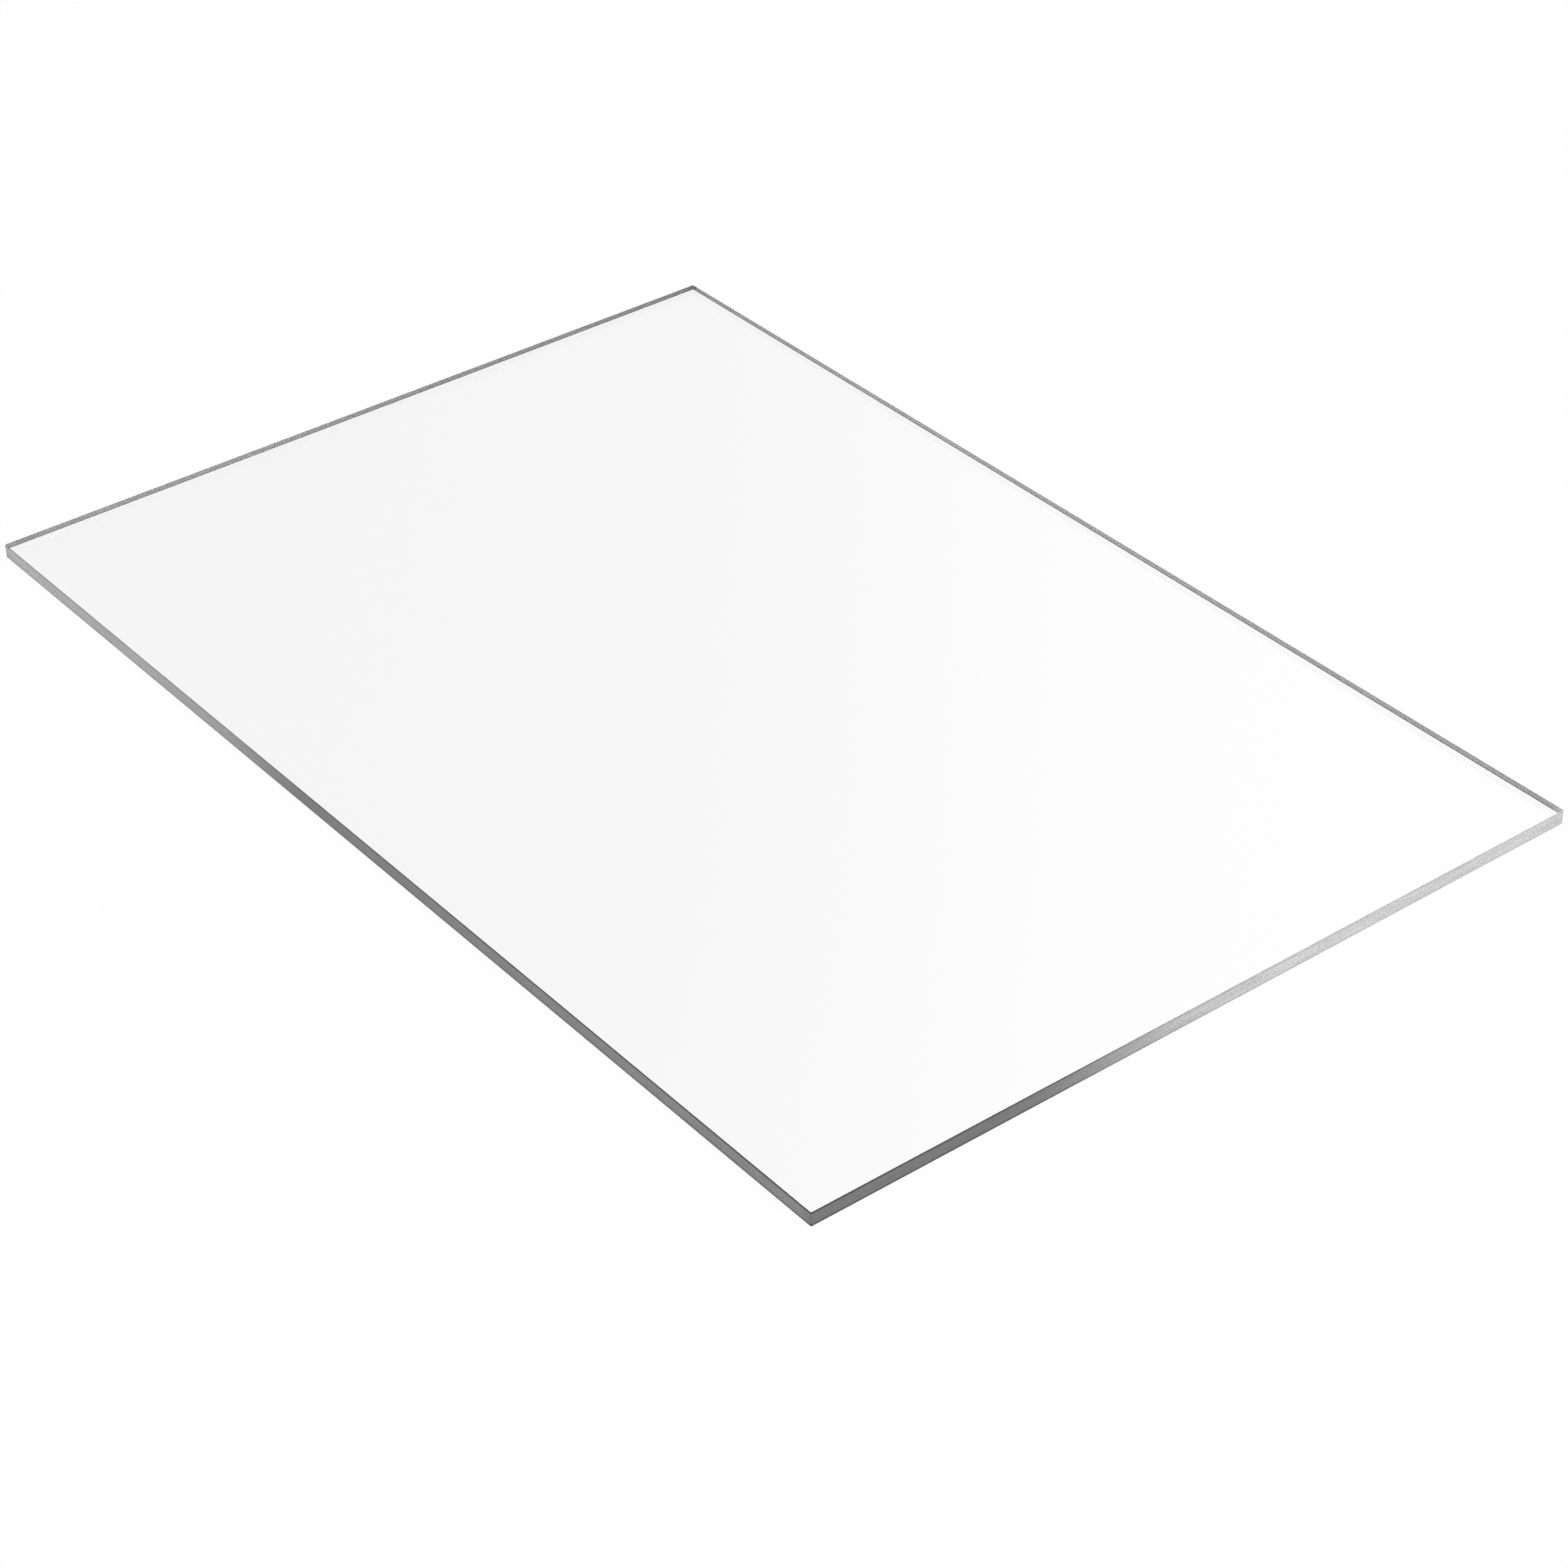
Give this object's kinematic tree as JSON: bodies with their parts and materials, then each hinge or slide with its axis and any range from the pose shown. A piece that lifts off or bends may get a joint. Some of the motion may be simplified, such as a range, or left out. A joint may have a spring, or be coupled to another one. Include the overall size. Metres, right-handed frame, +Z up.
{
  "type": "clear acrylic sheet",
  "caption": "Flat rectangular panel of clear cast acrylic with square machined walls and finely broken edges, for glazing, guards and display work.",
  "frame": {"origin": "middle of the underside, on the surface that the sheet lies on", "axes": "+X along the sheet's length, +Y along its width, +Z up through its thickness"},
  "size_m": [0.9, 0.6, 0.01],
  "materials": {
    "clear_acrylic": "polished"
  },
  "bodies": {
    "root": {"acrylic_sheet": "clear_acrylic"}
  },
  "joints": []
}
